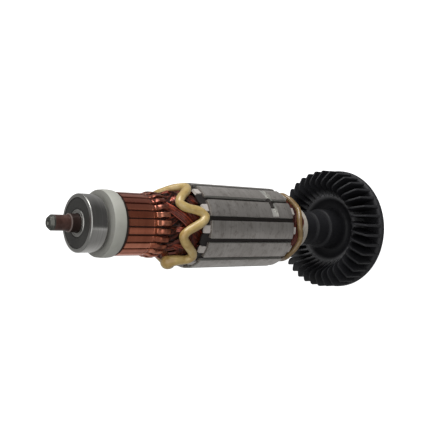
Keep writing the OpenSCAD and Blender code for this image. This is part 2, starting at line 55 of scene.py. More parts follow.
# ---- places, read from the frame ------------------------------------------------------------

def span(node):
    """Lowest and highest station of a node along the shaft."""
    low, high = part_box(node)
    return low[0], high[0]


def reach(node):
    """Largest radius of a node about the shaft."""
    mesh = frame["nodes"][node].data
    points = np.empty(len(mesh.vertices) * 3)
    mesh.vertices.foreach_get("co", points)
    return float(np.hypot(*points.reshape(-1, 3)[:, 1:].T).max())


core_rear, core_front = span("laminated_core")
core_r = reach("laminated_core")
coil_rear, coil_front = span("coils")
stub_end = span("shaft")[0]
bearing_front, bearing_back = span("bearing_outer_ring")
bearing_r = reach("bearing_outer_ring")
collar_front, collar_back = span("dust_collar")
fan_back = span("fan")[1]
fan_r = reach("fan")

bar_front, hook_back = span("commutator_bars")
hook_r = reach("commutator_bars")
hook_len = 4.6 * MM
hook_overhang = 1.4 * MM
hook_rise = 0.95 * MM
riser_drop = 0.7 * MM
riser_start = hook_back - hook_len
bar_back = hook_back - hook_overhang
track_r = hook_r - hook_rise
riser_r = track_r - riser_drop

slot_count = 12
bar_count = 24
slot_phase = math.radians(17.7)
bar_phase = math.radians(10)
slot_pitch = TURN / slot_count
bar_pitch = TURN / bar_count


# ---- surfaces ---------------------------------------------------------------------------------

def skin(name, grid, closed=(False, True), caps=True, sharp=40):
    """Joins points shaped (pieces, rows, columns, 3) into quads, row to row and column to column.

    closed says whether the last row meets the first and the last column the first. Caps close the
    first and the last row. The point attribute "tone" holds one random number for each piece."""
    grid = np.asarray(grid, float)
    grid = grid.reshape((-1,) + grid.shape[-3:])
    pieces, rows, cols = grid.shape[:3]
    index = np.arange(pieces * rows * cols).reshape(pieces, rows, cols)
    here = index if closed[0] else index[:, :-1]
    down = np.roll(index, -1, axis=1) if closed[0] else index[:, 1:]

    def corners(row):
        """Each column beside the next one round."""
        return (row, np.roll(row, -1, axis=2)) if closed[1] else (row[:, :, :-1], row[:, :, 1:])

    (a, b), (d, c) = corners(here), corners(down)
    quads = np.stack([a, b, c, d], axis=-1).reshape(-1, 4)
    loops = [quads.ravel()]
    totals = [np.full(len(quads), 4)]
    if caps and not closed[0]:
        for ring in (index[:, 0, ::-1], index[:, -1, :]):
            loops.append(ring.ravel())
            totals.append(np.full(pieces, cols))
    loops = np.concatenate(loops)
    totals = np.concatenate(totals)
    starts = np.cumsum(totals) - totals
    points = grid.reshape(-1, 3)
    a, b, c, d = points[quads].transpose(1, 0, 2)
    volume = np.einsum("ij,ij->", a, np.cross(b, c) + np.cross(c, d))
    if volume < 0 and closed[1]:
        # inside out: the corners of every face go round the other way
        ends = np.repeat(starts + totals - 1, totals)
        place = np.arange(len(loops)) - np.repeat(starts, totals)
        loops = loops[ends - place]
    mesh = bpy.data.meshes.new(name)
    mesh.vertices.add(len(points))
    mesh.vertices.foreach_set("co", points.ravel())
    mesh.loops.add(len(loops))
    mesh.loops.foreach_set("vertex_index", loops)
    mesh.polygons.add(len(totals))
    mesh.polygons.foreach_set("loop_start", starts)
    mesh.polygons.foreach_set("loop_total", totals)
    tone = mesh.attributes.new("tone", "FLOAT", "POINT")
    tone.data.foreach_set("value", np.repeat(rng.random(pieces), rows * cols))
    mesh.update(calc_edges=True)
    mesh.validate()
    mesh.shade_smooth()
    mesh.set_sharp_from_angle(angle=math.radians(sharp))
    piece = bpy.data.objects.new(name, mesh)
    bpy.context.scene.collection.objects.link(piece)
    return piece


def polar(x, r, angle):
    """Points at a station, a radius and an angle about the shaft."""
    x, r, angle = np.broadcast_arrays(x, r, angle)
    return np.stack([x, r * np.cos(angle), r * np.sin(angle)], axis=-1)


def spun(points, angle):
    """Points turned about the shaft by an angle: y and z mixed by its cosine and sine."""
    x, y, z = np.moveaxis(points, -1, 0)
    c, s = np.cos(angle), np.sin(angle)
    return np.stack(np.broadcast_arrays(x, y * c - z * s, y * s + z * c), axis=-1)


def turned(name, profile, steps=96):
    """A body turned about the shaft: each (station, radius) of the profile swept through a circle."""
    profile = np.asarray(profile, float)
    angle = np.arange(steps) / steps * TURN
    return skin(name, polar(profile[:, None, 0], profile[:, None, 1], angle), closed=(True, True))


def unit(v):
    """Vectors scaled to length one."""
    return v / np.linalg.norm(v, axis=-1, keepdims=True)


def swept(path, section, closed=False):
    """Cross-sections carried along paths shaped (..., points, 3).

    At each point the section's first axis is the direction away from the shaft crossed with the
    path's direction, and its second is square to both."""
    if closed:
        ahead = np.roll(path, -1, axis=-2)
        behind = np.roll(path, 1, axis=-2)
    else:
        ahead = np.concatenate([path[..., 1:, :], path[..., -1:, :]], axis=-2)
        behind = np.concatenate([path[..., :1, :], path[..., :-1, :]], axis=-2)
    travel = unit(ahead - behind)
    away = unit(path * np.array([0, 1, 1]) + 1e-9)
    side = unit(np.cross(away, travel))
    up = np.cross(travel, side)
    return (path[..., None, :] + side[..., None, :] * section[..., 0, None]
            + up[..., None, :] * section[..., 1, None])


def circle(radius, sides):
    """Points round a circle."""
    angle = np.arange(sides) / sides * TURN
    return np.stack([np.cos(angle), np.sin(angle)], -1) * radius


def smooth(t):
    """Eases from 0 to 1: three t squared less two t cubed."""
    t = np.clip(t, 0, 1)
    return t * t * (3 - 2 * t)


def mix(a, b, t):
    """A value between two others."""
    return a + (b - a) * t


def wander(count, steps, waves=3):
    """Slow random curves for a number of wires: a sum of sines with random phases and sizes."""
    t = np.linspace(0, 1, steps)
    turns = rng.uniform(0.5, 2.5, (count, waves, 1))
    phase = rng.uniform(0, TURN, (count, waves, 1))
    size = rng.uniform(0.3, 1, (count, waves, 1)) / waves
    return (size * np.sin(TURN * turns * t + phase)).sum(1)


# ---- shading ----------------------------------------------------------------------------------

class Shade:
    """A value in a node tree; arithmetic on it adds Math nodes."""

    def __init__(self, nodes, socket):
        self.nodes = nodes
        self.socket = socket

    def math(self, operation, other):
        """This value and another through one Math node."""
        return self.nodes.node("ShaderNodeMath", {"operation": operation}, {0: self, 1: other})

    def __add__(self, other):
        return self.math("ADD", other)

    __radd__ = __add__

    def __mul__(self, other):
        return self.math("MULTIPLY", other)

    __rmul__ = __mul__

    def __sub__(self, other):
        return self.math("SUBTRACT", other)

    def __rsub__(self, other):
        return (self * -1) + other

    def __pow__(self, other):
        return self.math("POWER", other)

    def step(self, low, high):
        """0 up to low, 1 from high on and eased between; it falls instead where low is the higher."""
        return self.nodes.node("ShaderNodeMapRange", {"interpolation_type": "SMOOTHSTEP"},
                               {"Value": self, "From Min": low, "From Max": high})

    def band(self, rise, fall):
        """1 between two slopes: up over the first pair of values, down over the second."""
        return self.step(*rise) * (1 - self.step(*fall))


class Nodes:
    """A node tree, filled by calls that take settings, values and links."""

    def __init__(self, tree):
        self.tree = tree

    def put(self, socket, value):
        """Links a Shade to a socket, or sets a plain value on it."""
        if isinstance(value, Shade):
            self.tree.links.new(value.socket, socket)
        elif isinstance(value, (tuple, list)) and len(value) == 3 and socket.type == "RGBA":
            socket.default_value = (*value, 1)
        else:
            socket.default_value = value

    def node(self, kind, settings=None, inputs=None, output=0):
        """Adds any node: its settings first, then its sockets' values or links."""
        made = self.tree.nodes.new(kind)
        for name, value in (settings or {}).items():
            if name == "stops":
                ramp = made.color_ramp
                while len(ramp.elements) < len(value):
                    ramp.elements.new(0.5)
                for element, (place, colour) in zip(ramp.elements, value):
                    element.position = place
                    element.color = (*colour, 1)
            else:
                setattr(made, name, value)
        for name, value in (inputs or {}).items():
            self.put(made.inputs[name], value)
        return Shade(self, made.outputs[output])

    def part(self, vector, letter):
        """One coordinate of a vector."""
        return self.node("ShaderNodeSeparateXYZ", inputs={0: vector}, output=letter)


class Finish(Nodes):
    """One procedural material on Object coordinates."""

    def __init__(self, name, **sockets):
        self.material = bpy.data.materials.new(name)
        self.material.use_nodes = True
        super().__init__(self.material.node_tree)
        self.shader = self.tree.nodes["Principled BSDF"]
        self.set(**sockets)

    def set(self, **sockets):
        """Sets the main shader's sockets to values or links, named with _ for a space."""
        for name, value in sockets.items():
            self.put(self.shader.inputs[name.replace("_", " ")], value)

    def where(self):
        """Object coordinates."""
        return self.node("ShaderNodeTexCoord", output="Object")

    def axis(self, letter):
        """One Object coordinate."""
        return self.part(self.where(), letter)

    def radius(self):
        """Distance from the shaft's axis."""
        y, z = self.axis("Y"), self.axis("Z")
        return (y * y + z * z) ** 0.5

    def noise(self, stretch, detail=2.0, roughness=0.5):
        """Cloudy variation from 0 to 1 with a number of features to the metre along each axis."""
        place = self.node("ShaderNodeVectorMath", {"operation": "MULTIPLY"}, {0: self.where(), 1: stretch})
        return self.node("ShaderNodeTexNoise", None,
                         {"Vector": place, "Scale": 1.0, "Detail": detail, "Roughness": roughness})

    def attribute(self, name):
        """A number stored on the piece's own points."""
        return self.node("ShaderNodeAttribute", {"attribute_name": name}, output="Fac")

    def ramp(self, value, *stops):
        """Colours along a value."""
        return self.node("ShaderNodeValToRGB", {"stops": stops}, {"Fac": value})

    def blend(self, factor, first, second):
        """One colour over another."""
        return self.node("ShaderNodeMix", {"data_type": "RGBA"}, {0: factor, 6: first, 7: second}, output=2)

    def bump(self, height, depth):
        """Relief from a height of 0 to 1, with its depth in metres."""
        self.set(Normal=self.node("ShaderNodeBump", inputs={"Distance": depth, "Height": height}))


def dress(piece, finish):
    """Gives a piece its finish in place of whatever it had."""
    piece.data.materials.clear()
    piece.data.materials.append(finish.material)


def fit(piece, finish, slot, *nodes, body="rotor"):
    """Dresses a new piece, lets it ride on its body and stand for its nodes."""
    dress(piece, finish)
    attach(piece, body)
    if nodes:
        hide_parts(*nodes)


def brass_finish():
    """Turned brass: fine lines round the shaft, slow clouds over them."""
    f = Finish("brass", Metallic=1.0)
    fine = f.noise((1500, 12, 12), 3.0, 0.6)
    cloud = f.noise((120, 120, 120), 2.0)
    f.set(Base_Color=f.ramp(fine * 0.5 + cloud * 0.5, (0.3, (0.45, 0.33, 0.14)), (0.7, (0.60, 0.46, 0.22))),
          Roughness=fine * 0.15 + cloud * 0.1 + 0.23)
    f.bump(fine, 0.012 * MM)
    return f


def moulded(name, light, dark, roughness, grain=2600):
    """Moulded plastic: one colour with slow mottling and a fine grain."""
    f = Finish(name)
    cloud = f.noise((160, 160, 160), 3.0)
    fine = f.noise((grain, grain, grain), 2.0)
    f.set(Base_Color=f.ramp(cloud, (0.3, dark), (0.7, light)),
          Roughness=fine * 0.14 + cloud * 0.1 + (roughness - 0.12))
    f.bump(fine, 0.02 * MM)
    return f


def shaft_finish():
    """Ground steel; the rear stub wears a red-brown varnish, rubbed off its tip; a pale band on its
    shoulder is a painted highlight.
    """
    f = Finish("shaft_steel")
    shoulder = bearing_front - 3.6 * MM
    fine = f.noise((1800, 14, 14), 3.0, 0.6)
    patch = f.noise((420, 420, 420), 3.0, 0.6)
    x = f.axis("X")
    past_tip = (x + patch * (0.8 * MM)).step(stub_end + 1.9 * MM, stub_end + 2.3 * MM)
    varnished = past_tip * (1 - x.step(bearing_front - 0.2 * MM, bearing_front + 0.6 * MM))
    journal = x.step(shoulder - 0.3 * MM, shoulder + 0.2 * MM)
    # a pale band at the shoulder's edge, blended into the colour below: a painted highlight
    shoulder_highlight = x.band((shoulder - 0.15 * MM, shoulder), (shoulder + 0.2 * MM, shoulder + 0.4 * MM))
    steel = f.ramp(fine, (0.3, (0.075, 0.075, 0.065)), (0.7, (0.17, 0.17, 0.155)))
    varnish = f.ramp(patch, (0.3, (0.050, 0.021, 0.016)), (0.7, (0.115, 0.058, 0.047)))
    brown = f.blend(shoulder_highlight * 0.7, f.blend(journal, varnish, (0.030, 0.016, 0.013)), (0.30, 0.24, 0.22))
    f.set(Base_Color=f.blend(varnished, steel, brown), Metallic=varnished * -0.6 + 0.9,
          Roughness=fine * 0.15 - varnished * 0.1 + 0.38)
    f.bump(fine * 0.4 + patch * 0.6, 0.03 * MM)
    return f


def bar_finish():
    """Turned copper: fine bands round the shaft, a tone of its own on each bar, one flank of the
    commutator darkened as a painted dark reflection, a front edge darkened as painted shade, and a
    dull riser darkened partly by varnish stain and partly as painted shade."""
    f = Finish("bar_copper", Metallic=0.8)
    flank = math.radians(122)
    bands = f.noise((1500, 30, 30), 3.0, 0.6)
    wide = f.noise((260, 60, 60), 2.0)
    stain = f.noise((500, 500, 500), 3.0)
    tone = f.attribute("tone")
    x, y, z = f.axis("X"), f.axis("Y"), f.axis("Z")
    # darkens the upper bars: a painted dark reflection
    painted_dark_reflection = (y * math.cos(flank) + z * math.sin(flank)).step(9.5 * MM, 12.0 * MM)
    riser = x.step(riser_start - 0.6 * MM, riser_start + 0.8 * MM)
    # the riser darkened partly by varnish stain and partly as painted shade under the hooks
    riser_stain_and_shade = riser * stain.step(0.3, 0.7) * 0.7
    # the bars' front edge darkened as painted shade, in place of a highlight
    edge = 1 - x.step(bar_front + 0.2 * MM, bar_front + 0.7 * MM)
    copper = f.ramp(bands * 0.2 + wide * 0.35 + tone * 0.45, (0.25, (0.34, 0.095, 0.052)),
                    (0.5, (0.58, 0.19, 0.11)), (0.75, (0.82, 0.32, 0.20)))
    painted_reflection = f.blend(painted_dark_reflection * 0.62, copper, (0.16, 0.05, 0.042))
    f.set(Base_Color=f.blend(riser_stain_and_shade + edge * (1 - riser_stain_and_shade), painted_reflection, (0.06, 0.02, 0.014)),
          Roughness=bands * 0.12 + riser_stain_and_shade * 0.15 + riser * 0.08 + edge * 0.3 + 0.16)
    f.bump(bands, 0.012 * MM)
    return f


def wire_finish(name, dark, light, metal, coat, coat_roughness=0.2):
    """Enamelled copper wire under varnish: red-brown, glossy, each wire a little different."""
    f = Finish(name, Coat_Weight=coat, Coat_Roughness=coat_roughness, Metallic=metal)
    tone = f.attribute("tone")
    cloud = f.noise((700, 700, 700), 3.0)
    f.set(Base_Color=f.ramp(tone * 0.6 + cloud * 0.4, (0.25, dark), (0.8, light)),
          Roughness=cloud * 0.2 + 0.3)
    f.bump(cloud, 0.02 * MM)
    return f


def cord_finish(name, deep, middle, pale):
    """Varnished cotton lacing: a pale colour with amber where varnish gathers, a faint twist."""
    f = Finish(name, Coat_Weight=0.5, Coat_Roughness=0.22)
    twist = f.noise((900, 900, 900), 2.0)
    pool = f.noise((170, 170, 170), 2.0)
    f.set(Base_Color=f.ramp(pool * 0.75 + twist * 0.25, (0.32, deep), (0.52, middle), (0.72, pale)),
          Roughness=twist * 0.2 + 0.3)
    f.bump(twist, 0.08 * MM)
    return f


def core_finish():
    """Ground laminations: grey edges of thin sheets with grinding marks round the shaft, brown
    smears of varnish, and a bare bright flat where the balancing mill cut below the surface."""
    f = Finish("core_steel", Metallic=0.8)
    sheets = f.noise((2000, 6, 6), 1.0)
    marks = f.noise((420, 25, 25), 3.0, 0.6)
    cloud = f.noise((60, 90, 90), 2.0)
    smear = f.noise((450, 380, 380), 5.0, 0.75)
    cut = 1 - f.radius().step(core_r - 0.14 * MM, core_r - 0.06 * MM)
    steel = f.ramp(sheets * 0.3 + marks * 0.3 + cloud * 0.4,
                   (0.3, (0.34, 0.315, 0.29)), (0.7, (0.60, 0.57, 0.54)))
    stained = f.blend(smear.step(0.48, 0.66) * 0.45, steel, (0.17, 0.14, 0.12))
    f.set(Base_Color=f.blend(cut, stained, (0.50, 0.495, 0.465)),
          Roughness=sheets * 0.15 + marks * 0.12 + smear * 0.1 + cut * 0.25 + 0.22)
    f.bump(sheets, 0.025 * MM)
    return f


def insulator_finish():
    """Off-white moulding, brown where the plate lies on the core, partly varnish and partly painted shade.
    """
    f = Finish("white_moulding")
    cloud = f.noise((160, 160, 160), 3.0)
    grain = f.noise((2600, 2600, 2600), 2.0)
    drip = f.noise((700, 700, 700), 3.0)
    # darkens the plate beside the core, partly as varnish and partly as painted shade
    varnish_and_shade_band = f.axis("X").band((core_rear - 1.0 * MM, core_rear - 0.6 * MM),
                            (core_front + 0.6 * MM, core_front + 1.0 * MM))
    pale = f.ramp(cloud, (0.3, (0.42, 0.385, 0.355)), (0.7, (0.56, 0.52, 0.485)))
    f.set(Base_Color=f.blend(varnish_and_shade_band * drip.step(0.143, 0.429), pale, (0.14, 0.12, 0.105)),
          Roughness=grain * 0.14 + cloud * 0.1 + 0.38)
    f.bump(grain, 0.02 * MM)
    return f


def bearing_finish():
    """Ground bearing steel, duller on the tumbled corner and the face behind the stub, where a little
    painted shade also darkens its colour to dim their highlight.
    """
    f = Finish("bearing_steel", Metallic=1.0)
    fine = f.noise((2600, 60, 60), 2.0)
    cloud = f.noise((150, 150, 150), 2.0)
    # rougher front corner and face; their colour is darkened a little as painted shade to dim a highlight
    face = 1 - f.axis("X").step(bearing_front + 0.35 * MM, bearing_front + 0.6 * MM)
    steel = f.ramp(fine * 0.6 + cloud * 0.4, (0.3, (0.44, 0.43, 0.41)), (0.7, (0.60, 0.59, 0.565)))
    f.set(Base_Color=f.blend(face, steel, (0.40, 0.395, 0.375)), Roughness=fine * 0.06 + face * 0.2 + 0.15)
    f.bump(fine, 0.003 * MM)
    return f


def collar_finish():
    """White nylon, its face beside the bearing greyer with painted shade."""
    f = Finish("pale_plastic")
    cloud = f.noise((160, 160, 160), 3.0)
    grime = f.noise((900, 900, 900), 3.0)
    # the face beside the bearing darkened as painted shade
    face = 1 - f.axis("X").step(collar_front + 0.14 * MM, collar_front + 0.2 * MM)
    pale = f.ramp(cloud, (0.3, (0.40, 0.40, 0.355)), (0.7, (0.455, 0.455, 0.41)))
    f.set(Base_Color=f.blend(face * 0.62, pale, (0.19, 0.185, 0.17)), Roughness=grime * 0.15 + 0.45)
    f.bump(grime, 0.01 * MM)
    return f


def fan_finish():
    """Black moulding, satin, the ridge between the blades greyed by a painted highlight, and the rim a
    little greyer.
    """
    f = Finish("black_moulding", Specular_IOR_Level=0.25)
    grain = f.noise((3000, 3000, 3000), 2.0)
    r = f.radius()
    # the ridge band greyed as a painted highlight
    painted_reflection = r.band((ridge_r - 2.1 * MM, ridge_r - 0.3 * MM), (ridge_r + 0.3 * MM, ridge_r + 3.1 * MM))
    rim = r.step(fan_r - 2.0 * MM, fan_r - 0.4 * MM)
    f.set(Base_Color=f.blend(painted_reflection + rim * 0.12, (0.013, 0.013, 0.015), (0.10, 0.10, 0.104)),
          Roughness=grain * 0.1 - painted_reflection * 0.1 + 0.5)
    f.bump(grain, 0.01 * MM)
    return f


# ---- commutator --------------------------------------------------------------------------------

bar_angles = bar_phase + np.arange(bar_count)[:, None, None] * bar_pitch


def copper_bars():
    """Bars: a wedge section carried along X, its sides parallel to the gap beside them, with a small
    bevel along its top. Half its angle is half the pitch less half the gap divided by the radius."""
    gap, bevel, wall, depth = 0.6 * MM, 0.16 * MM, 1.2 * MM, 3.4 * MM
    # station, how far the top lies below the track and how far the corners are drawn in
    front = [(bar_front, 0.25 * MM, 0.12 * MM), (bar_front + 0.25 * MM, 0, 0)]
    grooves = np.array([(-3.9, 0, 0), (-3.8, 0.15, 0), (-3.4, 0.15, 0), (-3.3, 0, 0), (-2.8, 0, 0),
                        (-2.7, 0.08, 0), (-0.3, 0.08, 0), (0, 0.3, 0.03)]) * MM + (riser_start, 0, 0)
    riser = [(riser_start + 0.4 * MM, riser_drop, 0.05 * MM), (bar_back - 0.2 * MM, riser_drop, 0.05 * MM),
             (bar_back, riser_drop + 0.2 * MM, 0.15 * MM)]
    x, sunk, drawn = np.concatenate([front, grooves, riser]).T[..., None]
    # across the section: share of half its width, and depth below its top down to one foot for all
    side = np.array([-1, -1, -1, -0.9, -0.5, 0, 0.5, 0.9, 1, 1, 1])
    below = np.array([2 * depth, wall, bevel, 0, 0, 0, 0, 0, bevel, wall, 2 * depth])
    r = np.maximum(track_r - depth, track_r - sunk - below)
    half = bar_pitch / 2 - (gap / 2 + drawn) / r
    share = np.where(np.abs(side) == 0.9, 1 - bevel / (r * half), np.abs(side))
    return skin("bars", polar(x, r, bar_angles + half * np.sign(side) * share))


def copper_hooks():
    """Hooks: a flat strip, its section a superellipse, carried up from the riser, round a half circle,
    back along the bar and down to a tip that is pressed flat on the track."""
    thick, width = 0.75 * MM, 1.95 * MM
    fold = (hook_r - riser_r) / 2 + 0.35 * MM - thick / 2
    top_r = hook_r - thick / 2
    back = hook_back - thick / 2
    turn = np.linspace(-math.pi / 2, math.pi / 2, 10)
    # share of the way from the fold to the riser's start, millimetres below the hook's top, and the
    # shares that are left of the thickness and of the width
    tab = np.array([
        (0.12, 0, 1, 1), (0.4, 0, 1, 1), (0.62, 0.03, 1, 1), (0.8, 0.16, 1, 1), (0.92, 0.36, 0.9, 1.06),
        (1.06, 0.56, 0.8, 1.12), (1.2, 0.66, 0.74, 1.14), (1.34, 0.7, 0.7, 1.1), (1.46, 0.72, 0.6, 1),
        (1.54, 0.76, 0.3, 0.8)])
    path = np.concatenate([
        [(bar_back - 0.8 * MM, top_r - 2 * fold)],
        np.stack([back - fold + fold * np.cos(turn), top_r - fold + fold * np.sin(turn)], -1),
        np.stack([mix(back - fold, riser_start, tab[:, 0]), top_r - tab[:, 1] * MM], -1)])
    thin, spread = np.pad(tab[:, 2:], ((len(path) - len(tab), 0), (0, 0)), constant_values=1).T[..., None]
    along = unit(np.gradient(path, axis=0))
    normal = np.stack([-along[:, 1], along[:, 0]], -1)
    across, up = circle(1, 16).T
    wide = np.sign(across) * np.abs(across) ** 0.45 * width / 2
    deep = np.sign(up) * np.abs(up) ** 0.6 * thick / 2
    place = path[:, None] + normal[:, None] * (deep * thin)[..., None]
    angle = bar_angles + wide * spread / place[..., 1]
    return skin("hooks", polar(place[..., 0], place[..., 1], angle))


# ---- bearing, collar and fan -------------------------------------------------------------------

bearing_mid = (bearing_front + bearing_back) / 2
pitch_r, race_r = 7.25 * MM, 2.0345 * MM
seal_w = 1 * MM


def race(land_r, sign):
    """A ball groove in (station, radius): the arc of the race circle beyond a land."""
    half = math.acos(sign * (land_r - pitch_r) / race_r)
    a = np.linspace(half, -half, 9)
    return np.stack([bearing_mid + race_r * np.sin(a), pitch_r + sign * race_r * np.cos(a)], -1)


def rounded(x, r, size, towards, steps=5):
    """A rounded corner in (station, radius): a quarter circle inside the corner at (x, r).

    towards holds the signs that lead from the corner to the arc's centre."""
    a = np.linspace(0, math.pi / 2, steps)
    return np.stack([x + towards[0] * size * (1 - np.sin(a)), r + towards[1] * size * (1 - np.cos(a))], -1)


def bearing_outer():
    """Outer ring: rounded corners, a seat for each seal and the ball groove between them."""
    seat_r, land_r = 9.55 * MM, 8.8 * MM
    front, back = bearing_front + seal_w, bearing_back - seal_w
    return turned("outer_ring", np.concatenate([
        [(bearing_front, seat_r)], rounded(bearing_front, bearing_r, 0.5 * MM, (1, -1))[::-1],
        rounded(bearing_back, bearing_r, 0.4 * MM, (-1, -1)),
        [(bearing_back, seat_r), (back, seat_r), (back, land_r)], race(land_r, 1),
        [(front, land_r), (front, seat_r)]]), 128)


def bearing_inner():
    """Inner ring: a chamfered bore and two turned steps in each face, with the ball groove."""
    seat_r, land_r = 5.25 * MM, 6.05 * MM
    front, back = bearing_front + seal_w, bearing_back - seal_w
    # millimetres into the ring and from the shaft's axis
    face = np.array([(0.3, 3.5), (0, 3.8), (0, 4.15), (0.16, 4.2), (0.16, 4.5), (0, 4.55), (0, 4.95),
                     (0.25, 5.2)]) * MM
    return turned("inner_ring", np.concatenate([
        face + (bearing_front, 0), [(front, seat_r), (front, land_r)], race(land_r, -1)[::-1],
        [(back, land_r), (back, seat_r)], face[::-1] * (-1, 1) + (bearing_back, 0)]), 128)


def dust_collar():
    """White collar: a flat face towards the bearing, a crisp edge and a slightly barrelled rim, which
    stands a little further out than the solid's."""
    bore_r = 4.05 * MM
    rim_r = reach("dust_collar") + 0.3 * MM
    return turned("collar", np.concatenate([
        [(collar_front + 0.1 * MM, bore_r)],
        rounded(collar_front + 0.05 * MM, rim_r - 0.2 * MM, 0.15 * MM, (1, -1), 3)[::-1],
        [(mix(collar_front, collar_back, 0.35), rim_r), (mix(collar_front, collar_back, 0.7), rim_r)],
        rounded(collar_back, rim_r - 0.1 * MM, 0.4 * MM, (-1, -1)), [(collar_back, bore_r)]]), 128)


plate_t = 3 * MM
plate_front = fan_back - plate_t
ridge_r = 16.3 * MM
blade_count = 38
blade_phase = math.radians(4.3)


def fan_body():
    """Hub, dish, ridge and back plate: a profile of (millimetres in front of the plate, radius)
    turned round the shaft, its soft stretches eased by a running mean."""
    hub = [(28.3, 5.52), (28.3, 6.4), (28, 6.7), (20.1, 6.7), (19.7, 7.6), (19.3, 8), (12.6, 8), (12.3, 9),
           (11.8, 9.4)]
    soft = np.array([(11.8, 9.4), (3.4, 9.4), (2.0, 9.9), (1.5, 11), (1.7, 12.4), (2.4, 13.6), (3.4, 14.7),
                     (4.1, 15.5), (4.4, ridge_r / MM), (4.1, 17.1), (2.9, 17.8), (0.9, 18.4), (0, 19.2),
                     (0, 25.5)])
    rim_r = fan_r / MM
    rim = [(0, rim_r - 1.7), (-0.15, rim_r - 1.1), (-0.5, rim_r - 0.55), (-1, rim_r - 0.15), (-1.6, rim_r),
           (-2.4, rim_r), (-2.8, rim_r - 0.15), (-3, rim_r - 0.6)]
    back = [(-3, 10.7), (-2.4, 9.7), (-2.4, 6.7), (-3.6, 6.7), (-3.6, 5.52)]
    along = np.concatenate([[0], np.cumsum(np.hypot(*np.diff(soft, axis=0).T))])
    fine = np.linspace(0, along[-1], 90)
    dish = np.stack([np.interp(fine, along, soft[:, 0]), np.interp(fine, along, soft[:, 1])])
    for values in dish:
        values[2:-2] = np.convolve(values, np.ones(5) / 5, "valid")
    height, r = np.concatenate([hub, dish.T[1:], rim, back]).T * MM
    return turned("fan_body", np.stack([plate_front - height, r], -1), 160)


def fan_blades():
    """Straight blades that lean back from the radius: each is a drafted section with a rounded front
    edge, carried outwards along a crested outline, with a fillet where it leaves the ridge."""
    root_r, tip_r, lean = 16.2 * MM, fan_r - 0.4 * MM, math.radians(-9)
    root = polar(0, root_r, lean)[1:]
    way = np.array([tip_r, 0]) - root
    # share of the way from root to tip, and millimetres in front of the plate
    outline = np.array([(-0.06, 3.5), (0, 4.1), (0.1, 5.9), (0.22, 8.4), (0.36, 11.7), (0.45, 13.0),
                        (0.53, 13.3), (0.62, 13.1), (0.81, 11.4), (0.93, 10.2), (0.975, 9.7), (0.995, 9.2),
                        (1, 8.9)])
    t = np.concatenate([np.linspace(-0.06, 0.93, 24), [0.955, 0.975, 0.99, 0.998, 1.0]])[:, None]
    top = np.interp(t, outline[:, 0], outline[:, 1])
    half = 0.4 + 0.45 * np.exp(-(t + 0.06) / 0.05)
    half *= np.where(t > 0.99, np.sqrt(np.clip((1.012 - t) / 0.022, 0, 1)), 1)
    # round the section: the flanks go down to 0.6 mm inside the plate, the front edge is rounded
    side = np.array([-2.1, -1.5, -1, -0.75, 0, 0.75, 1, 1.5, 2.1])
    down = np.array([1, 0.55, 0.30, 0.10, 0, 0.10, 0.30, 0.55, 1])
    flank = np.abs(side) > 1.2
    height = np.where(flank, mix(top, -0.6, down), top - down * half)
    across = np.where(flank, np.sign(side) * (half + (np.abs(side) - 1) * 0.36), side * half) * MM
    square = np.array([-way[1], way[0]]) / np.linalg.norm(way)
    flat = root + way * t[..., None] + square * across[..., None]
    blade = np.concatenate([(plate_front - height * MM)[..., None], flat], axis=-1)
    angle = blade_phase + np.arange(blade_count)[:, None, None] * TURN / blade_count
    return skin("fan_blades", spun(blade, angle), sharp=50)


# ---- winding -----------------------------------------------------------------------------------

coil_span = 5 * slot_pitch
coil_out = 2.4 * MM
coil_wander = 1 * MM
turn_low_r = core_r - 6.6 * MM
turn_high_r = core_r - 4.15 * MM


def round_wires(name, path, gauge, sides):
    """Round wires carried along their paths."""
    return skin(name, swept(path, circle(gauge / 2, sides)))


def lanes(starts, wires):
    """Start and place across its band of every wire, for bands of side by side wires, as columns."""
    place = np.arange(wires) - (wires - 1) / 2
    return np.repeat(starts, wires)[:, None], np.tile(place, len(starts))[:, None]


def end_turn(u, x, out, overhang):
    """Station, radius and angle along an end turn: it rises from its slot, crosses from the inner
    to the outer layer at the nose, and comes down to the fifth slot on."""
    rise = (overhang - coil_out) * (1 - np.abs(1 - 2 * u) ** 1.35)
    r = mix(turn_low_r, turn_high_r, smooth((u - 0.4) / 0.2))
    return x + out * (coil_out + rise), r, coil_span * u


def end_turn_wires(name, x, out, overhang):
    """Every coil's end turn as a bundle of wires that keep their places with a little wander. The
    bundle is narrow in its slots and wide at the nose."""
    across, deep, steps, gauge = 6, 4, 26, 0.5 * MM
    pitch = gauge * 0.94
    u = np.linspace(0, 1, steps)
    side, depth = np.meshgrid(np.arange(across) - (across - 1) / 2, np.arange(deep) - (deep - 1) / 2)
    side = np.tile(side.ravel(), slot_count)[:, None] * pitch
    depth = np.tile(depth.ravel(), slot_count)[:, None] * pitch
    wires = len(side)
    spread = 0.55 + 0.45 * np.sin(math.pi * u) ** 0.5
    side = side * spread + wander(wires, steps) * 0.25 * MM
    depth = depth + wander(wires, steps) * 0.22 * MM
    centre = polar(*end_turn(u, x, out, overhang))
    travel = unit(np.gradient(centre, axis=0))
    away = unit(centre * np.array([0, 1, 1]))
    path = centre + np.cross(away, travel) * side[..., None] + away * depth[..., None]
    into_slot = np.array([-out * 3.5 * MM, 0, 0])
    path = np.concatenate([path[:, :1] + into_slot, path, path[:, -1:] + into_slot], axis=1)
    coil = slot_phase + np.repeat(np.arange(slot_count), across * deep)[:, None] * slot_pitch
    return round_wires(name, spun(path, coil), gauge, 6)


